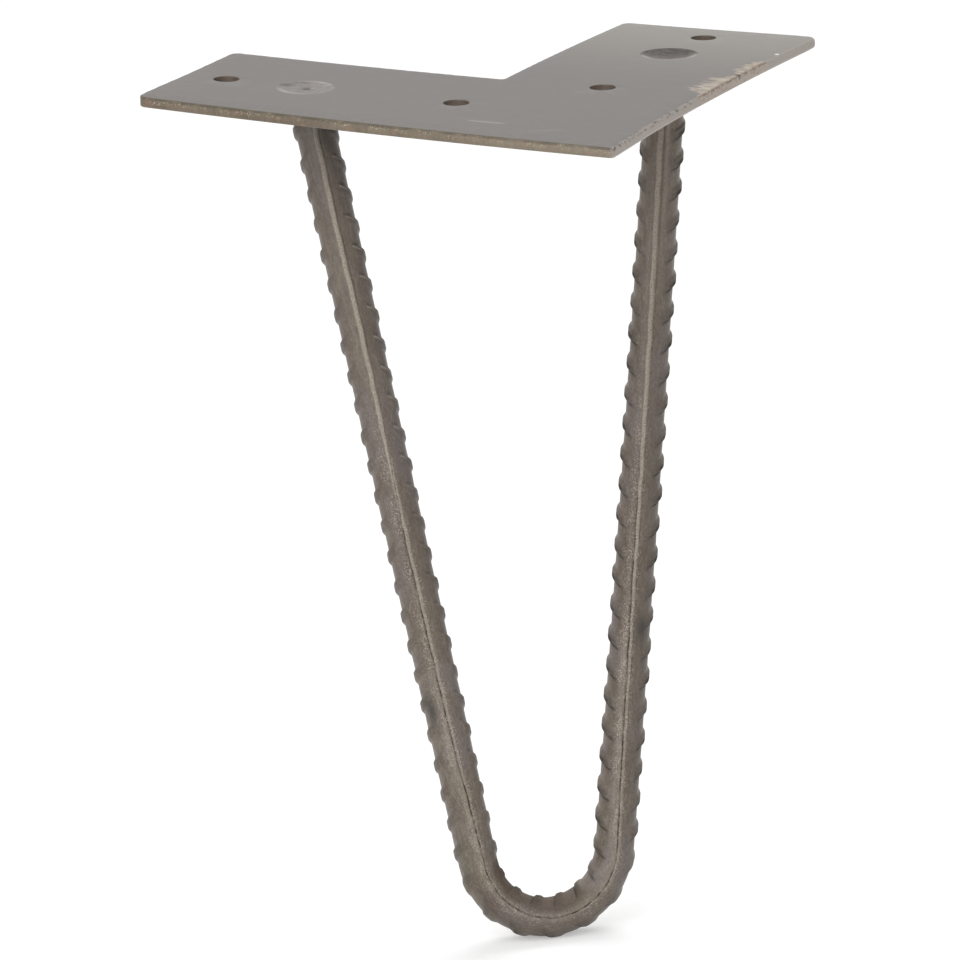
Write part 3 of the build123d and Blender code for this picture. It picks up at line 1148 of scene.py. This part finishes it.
def bar_steel():
    """Hot-rolled bar: brown-grey mill scale with fine streaks, and bright specks on the long ribs."""
    f = Finish("bar_steel")
    noises = bar_noises(f)
    colour, dull = bar_marks(f, noises, mill_scale(f, noises))
    roughness = f.ramp(noises["dullness"], *BAR_ROUGHNESS)
    # Less rough in the painted highlight band
    roughness = f.math("SUBTRACT", roughness, f.times(f.attribute("painted_highlight"), HIGHLIGHT_GLOSS))
    roughness = f.math("MAXIMUM", roughness, f.ramp(dull, *DULL_ROUGHNESS))
    normal = f.bump(noises["pores"], PORE_DEPTH)
    normal = f.bump(noises["hollows"], HOLLOWS_DEPTH, normal)
    return f.finish(colour, roughness, normal, metallic=0.0, ior=1.5)


# Patterns on the plate: noise size, detail, roughness, stretch, low and high value, and result at each
PLATE_PATTERNS = {
    "streaks": (2.5, 3, 0.5, (1, 0.06, 1), 0.3, 0.7, 0, 0.03),
    "tone": (7.0, 3, 0.5, None, 0.35, 0.65, 0, 1),
    "upright": (0.7, 3, 0.6, (1, 1, 0.2), 0.42, 0.66, 0, 0.6),
    "stains": (3.0, 3, 0.6, None, 0.52, 0.66, 0, 0.55),
    "flecks": (0.42, 3, 0.7, None, 0.53, 0.62, 0, 1),
    "clusters": (4.0, 3, 0.6, None, 0.4, 0.6, 0.15, 1),
    "shadow": (5.0, 3, 0.5, None, 0.35, 0.6, 0.25, 0.75),
    "feathers": (1.4, 4, 0.65, (1, 0.22, 1), 0.32, 0.68, 0.6, 1.4),
    "bared": (0.8, 3, 0.65, (1, 0.25, 1), 0.36, 0.64, 0, 1),
    "bared_share": (0.8, 3, 0.65, (1, 0.25, 1), 0.3, 0.55, 0.7, 0.95),
    "pits": (0.8, 3, 0.65, None, 0.54, 0.66, 0, 1),
    "specks": (1.1, 3, 0.6, None, 0.51, 0.59, 0, 1),
    "rust": (1.2, 3, 0.5, None, 0.36, 0.55, 0.25, 0.9),
    "roughness": (4.0, 3, 0.5, None, 0.2, 0.8, 0.43, 0.45),
}

# Marks on the walls: shares of the sheet's thickness between which each changes, and its value at each
DROPS = {
    "flecks": (0.75, 0.3, 0.1, 0.95),
    "line": (0.86, 0.96, 0, 0.35),
    "shadow": (0.34, 0.18, 0, 1),
    # The dressed wall's painted highlight along its lower edge
    "dressed_line": (0.75, 0.92, 0, 0.6),
    "specks": (0.45, 0.25, 0, 1),
    "notch": (0.55, 0.3, 0, 1),
}

# Scratches and rubs on the plate's top: start, end, half width, share and colour
STROKES = (
    ((-13.2, 19.7), (-12.7, 3.6), 0.5, 0.4, (112, 108, 105)),
    ((-14.1, 17.0), (-13.8, 6.0), 0.5, 0.4, (176, 172, 168)),
    ((-18.5, 0.0), (-13.8, -8.6), 1.1, 0.35, (116, 112, 109)),
)

# Other places on the plate, in its own axes: ranges over which a mark changes, and spots with a radius
TOP_SHEEN_RANGE = (30, 105)
CORNER_RANGE = (60, -25, 0, 0.4)
SPECKS_ALONG = (26, 16)
SPECKS_BESIDE = (NEAR_SIDE + 2.0, NEAR_SIDE + 0.8)
SPECKS_SIDE = (-20, -23)
NOTCH = (47.6, NEAR_SIDE + 0.6, 1.1)
NUB = (72.0, NEAR_SIDE + 0.8, 0.9)
SCRAPE_CORE = 0.3
SCRAPE_SOFTNESS = 0.9

# Shares of the plate's marks, and how its fine relief grows from the faces to the walls
SCRAPED_WALL_SHARE = 0.75
DARK_LINE_SHARE = 0.85
EDGE_SPECKS_SHARE = 0.8
NUB_ON_WALL = (0.6, 0.2)
GRIT_NOISE = (0.45, 3, 0.6)
GRIT_ON_WALL = (0.3, 1.0, 0.02, 1.0)
GRIT_DEPTH = 0.05


def plate_grid(f):
    """What the plate's finish is made from: its place, the values on its mesh, and its patterns."""
    place = f.add("ShaderNodeMapping", 0, {"Vector": f.place, "Rotation": (0, 0, math.radians(-45))})
    p, q = f.split(place)
    values = {name: f.attribute(name) for name in ("wall", "edge", "drop", "dressed", "bore")}
    low = SimpleNamespace(**{name: f.ramp(values["drop"], *steps) for name, steps in DROPS.items()})
    pattern = SimpleNamespace()
    for name, (size, detail, rough, drawn, *steps) in PLATE_PATTERNS.items():
        noise = f.noise(size, detail, rough, f.stretch(place, drawn) if drawn else f.place)
        setattr(pattern, name, f.ramp(noise, *steps))
    return SimpleNamespace(place=place, p=p, q=q, low=low, pattern=pattern, **values)


def sheared_wall(f, plate):
    """The colours of the sheared walls: olive brown with a dark top, cream flecks and upright streaks."""
    pattern = plate.pattern
    return f.lay(
        srgb(103, 92, 78),
        (pattern.tone, (117, 106, 91)),
        (pattern.upright, (93, 83, 71)),
        (pattern.stains, (129, 104, 90)),
        (f.times(pattern.flecks, plate.low.flecks, pattern.clusters), (182, 172, 148)),
        (plate.low.line, (156, 144, 127)),
        (f.ramp(plate.q, *CORNER_RANGE), (148, 138, 121)),
        (f.times(plate.low.shadow, pattern.shadow), (76, 70, 58)),
    )


def scraped_share(f, plate):
    """Where the right front edge is scraped: two lobes with feathered ends that reach in from it."""
    limit = 0.0
    for middle, half, depth in SCRAPES:
        off = f.math("ABSOLUTE", f.math("SUBTRACT", plate.p, middle))
        limit = f.math("ADD", f.ramp(off, half, SCRAPE_CORE * half, 0.0, depth), limit)
    limit = f.times(limit, plate.pattern.feathers)
    inside = f.math("SUBTRACT", limit, f.math("SUBTRACT", plate.q, NEAR_SIDE))
    return f.ramp(inside, 0.0, SCRAPE_SOFTNESS)


def top_colour(f, plate, scraped):
    """The sheet's faces, with a painted sheen towards the right arm's end, their scratches and the scraped
    metal along the right front edge.
    """
    # Painted sheen: the top is painted paler towards the right arm's end
    far = f.ramp(plate.p, *TOP_SHEEN_RANGE)
    colour = f.lay(srgb(93, 88, 84), (far, (123, 119, 112)), (plate.pattern.streaks, (112, 106, 101)))
    for start, end, half_width, share, shade in STROKES:
        colour = f.lay(colour, (f.times(f.stroke(plate.place, start, end, half_width), share), shade))
    bared = f.lay(srgb(122, 110, 97), (plate.pattern.bared, (160, 149, 135)))
    return f.mix(f.times(scraped, plate.pattern.bared_share), colour, bared)


def dressed_wall(f, plate, scraped):
    """The right front edge's wall: warm grey with a painted highlight along its lower edge, brown and
    pitted where scraped.
    """
    # Painted highlight along the lower edge of the dressed wall
    plain = f.lay(srgb(166, 157, 149), (plate.low.dressed_line, (196, 188, 180)))
    pitted = f.lay(srgb(176, 162, 149), (plate.pattern.pits, (128, 110, 92)))
    return f.mix(f.times(scraped, SCRAPED_WALL_SHARE), plain, pitted)


def edge_specks(f, plate):
    """Dark specks along the top of the right front edge, near the outer corner."""
    spread = f.times(plate.pattern.specks, f.ramp(plate.p, *SPECKS_ALONG))
    near_edge = f.math("MAXIMUM", plate.edge, f.ramp(plate.q, *SPECKS_BESIDE))
    return f.times(spread, near_edge, plate.low.specks, f.ramp(plate.q, *SPECKS_SIDE), EDGE_SPECKS_SHARE)


def plate_steel():
    """Bare sheet: even warm grey faces, olive-brown sheared walls and a scraped, rusty stretch."""
    f = Finish("plate_steel")
    plate = plate_grid(f)
    scraped = scraped_share(f, plate)
    wall_colour = f.mix(plate.dressed, sheared_wall(f, plate), dressed_wall(f, plate, scraped))
    wall_colour = f.lay(wall_colour, (plate.bore, (104, 92, 83)))
    sheared_edge = f.times(plate.edge, f.math("SUBTRACT", 1.0, plate.dressed), DARK_LINE_SHARE)
    colour = f.lay(
        f.mix(plate.wall, top_colour(f, plate, scraped), wall_colour),
        (sheared_edge, (76, 70, 59)),
        (edge_specks(f, plate), (84, 77, 71)),
        (f.times(plate.edge, plate.dressed, scraped, plate.pattern.rust), (108, 87, 66)),
        (f.times(f.spot(plate.place, *NOTCH), plate.low.notch), (66, 56, 45)),
        (f.times(f.spot(plate.place, *NUB), f.ramp(plate.wall, *NUB_ON_WALL)), (212, 207, 200)),
    )
    grit = f.noise(*GRIT_NOISE, f.place)
    normal = f.bump(f.times(grit, f.ramp(plate.wall, *GRIT_ON_WALL)), GRIT_DEPTH)
    return f.finish(colour, plate.pattern.roughness, normal, metallic=0.35, ior=1.45)


# Weld metal: noises and their shares in its tone and relief
WELD_TONE_NOISE = (1.6, 4, 0.6)
WELD_TONE_STEPS = (0.3, 0.7, -0.1, 0.1)
WELD_GRAIN_NOISE = (0.7, 3, 0.6)
WELD_GRAIN_DEPTH = 0.03
WELD_METAL_SHARE = 0.6


def weld_steel(name, dark, pale, shine):
    """Weld metal, between its dark and pale shades, with its share of specular shine."""
    f = Finish(name)
    mottle = f.ramp(f.noise(*WELD_TONE_NOISE, f.place), *WELD_TONE_STEPS)
    colour = f.mix(f.math("ADD", f.attribute("tone"), mottle), dark, pale)
    normal = f.bump(f.noise(*WELD_GRAIN_NOISE, f.place), WELD_GRAIN_DEPTH)
    f.shader.inputs["Specular IOR Level"].default_value = shine
    return f.finish(colour, roughness=0.5, normal=normal, metallic=shine * WELD_METAL_SHARE, ior=1.45)


# Stage, light and camera: the camera is placed in millimetres, and the rest in metres

# Floor: half its width, its grey for the light it throws up and where it is seen, and its glow there
FLOOR_HALF = 6.0
FLOOR_THROWN = (0.55, 0.55, 0.55, 1)
FLOOR_SEEN = (0.7, 0.7, 0.7, 1)
FLOOR_GLOW = 0.36
WHITE = (1, 1, 1, 1)

# Where the panels stand: distance from the leg, and height of the point that they face
PANEL_DISTANCE = 0.8
PANEL_HEIGHT = -0.1


def seen_rays(tree):
    """1 for what the camera sees, straight or in a reflection or through glass, and 0 for other light."""
    rays = tree.nodes.new("ShaderNodeLightPath")
    seen = rays.outputs["Is Camera Ray"]
    for kind in ("Is Glossy Ray", "Is Transmission Ray"):
        either = tree.nodes.new("ShaderNodeMath")
        either.operation = "MAXIMUM"
        tree.links.new(seen, either.inputs[0])
        tree.links.new(rays.outputs[kind], either.inputs[1])
        seen = either.outputs[0]
    return seen


def floor_white():
    """A plain floor that takes soft shadows: white where it is seen, and greyer in the light it throws."""
    f = Finish("floor_white")
    seen = seen_rays(f.tree)
    f.put(f.shader.inputs["Base Color"], f.mix(seen, FLOOR_THROWN, FLOOR_SEEN))
    f.shader.inputs["Roughness"].default_value = 1.0
    f.shader.inputs["Specular IOR Level"].default_value = 0.0
    f.shader.inputs["Emission Color"].default_value = WHITE
    f.put(f.shader.inputs["Emission Strength"], f.times(seen, FLOOR_GLOW))
    return f.material


def add_floor():
    """A wide pale floor under the foot of the leg."""
    mesh = bpy.data.meshes.new("floor")
    corners = [(x * FLOOR_HALF, y * FLOOR_HALF, FOOT * MM) for x, y in ((-1, -1), (1, -1), (1, 1), (-1, 1))]
    mesh.from_pydata(corners, [], [(0, 1, 2, 3)])
    mesh.materials.append(floor_white())
    floor = bpy.data.objects.new("floor", mesh)
    bpy.context.scene.collection.objects.link(floor)


def add_world(strength):
    """Even studio light, which the camera and shiny surfaces see as white."""
    world = bpy.data.worlds.new("studio")
    bpy.context.scene.world = world
    world.use_nodes = True
    tree = world.node_tree
    tree.nodes.clear()
    level = tree.nodes.new("ShaderNodeMapRange")
    level.inputs["To Min"].default_value = strength
    level.inputs["To Max"].default_value = 1.0
    tree.links.new(seen_rays(tree), level.inputs["Value"])
    background = tree.nodes.new("ShaderNodeBackground")
    tree.links.new(level.outputs[0], background.inputs["Strength"])
    background.inputs["Color"].default_value = WHITE
    output = tree.nodes.new("ShaderNodeOutputWorld")
    tree.links.new(background.outputs[0], output.inputs["Surface"])


def direction(azimuth, elevation):
    """The direction towards this azimuth and elevation, as the camera's angles are given."""
    turn = math.radians(azimuth)
    rise = math.radians(elevation)
    return Vector((math.sin(turn) * math.cos(rise), -math.cos(turn) * math.cos(rise), math.sin(rise)))


def add_lamp(name, kind, towards, place):
    """A lamp at a place, turned so that it shines from this direction."""
    lamp = bpy.data.lights.new(name, kind)
    holder = bpy.data.objects.new(name, lamp)
    holder.location = place
    holder.rotation_euler = towards.to_track_quat("Z", "Y").to_euler()
    holder.visible_camera = False
    bpy.context.scene.collection.objects.link(holder)
    return lamp


def add_sun(name, azimuth, elevation, strength, spread):
    """A soft distant lamp."""
    lamp = add_lamp(name, "SUN", direction(azimuth, elevation), (0, 0, 1))
    lamp.energy = strength
    lamp.angle = math.radians(spread)


def add_panel(name, azimuth, elevation, width, tall, power):
    """A soft panel that faces the hairpin."""
    towards = direction(azimuth, elevation)
    place = towards * PANEL_DISTANCE + Vector((0, 0, PANEL_HEIGHT))
    lamp = add_lamp(name, "AREA", towards, place)
    lamp.shape = "RECTANGLE"
    lamp.size = width
    lamp.size_y = tall
    lamp.energy = power


def add_camera(azimuth, elevation, roll, distance, lens, aside, above):
    """The photograph's view of the plate's outer corner, in millimetres: a long lens, a little above it."""
    tilt = math.radians(roll)
    back = direction(azimuth, elevation)
    level = (-back).cross(Vector((0, 0, 1))).normalized()
    upright = level.cross(-back)
    right = level * math.cos(tilt) + upright * math.sin(tilt)
    up = upright * math.cos(tilt) - level * math.sin(tilt)
    corner = Vector((*part_xy(NEAR_SIDE, NEAR_SIDE), 0))
    place = corner + back * distance + right * aside + up * above
    data = bpy.data.cameras.new("camera")
    data.lens = lens
    camera = bpy.data.objects.new("camera", data)
    camera.matrix_world = Matrix.Translation(place * MM) @ Matrix((right, up, back)).transposed().to_4x4()
    bpy.context.scene.collection.objects.link(camera)
    bpy.context.scene.camera = camera


bar_piece(bar_steel())
plate_piece(plate_steel())
ground_weld = weld_steel("ground_weld", dark=srgb(70, 64, 60), pale=srgb(157, 150, 145), shine=0.5)
weld_piece("left", ground_relief, ground_tone_and_shading, ground_weld)
sunk_weld = weld_steel("sunk_weld", dark=srgb(56, 49, 45), pale=srgb(146, 138, 131), shine=0.2)
weld_piece("right", dish_relief, dish_shading, sunk_weld)
add_floor()
add_world(strength=0.5)
add_sun("top_light", azimuth=150, elevation=62, strength=1.5, spread=40)
add_panel("key_panel", azimuth=-55, elevation=43, width=0.8, tall=0.8, power=3.5)
add_panel("left_panel", azimuth=-54, elevation=0, width=0.35, tall=0.4, power=0.8)
add_panel("right_panel", azimuth=55, elevation=0, width=0.35, tall=0.4, power=0.1)
add_camera(
    azimuth=-20.093, elevation=15.685, roll=-0.439,
    distance=1795.7, lens=300.0, aside=-29.895, above=-74.951,
)
bpy.context.scene.view_settings.view_transform = "Standard"
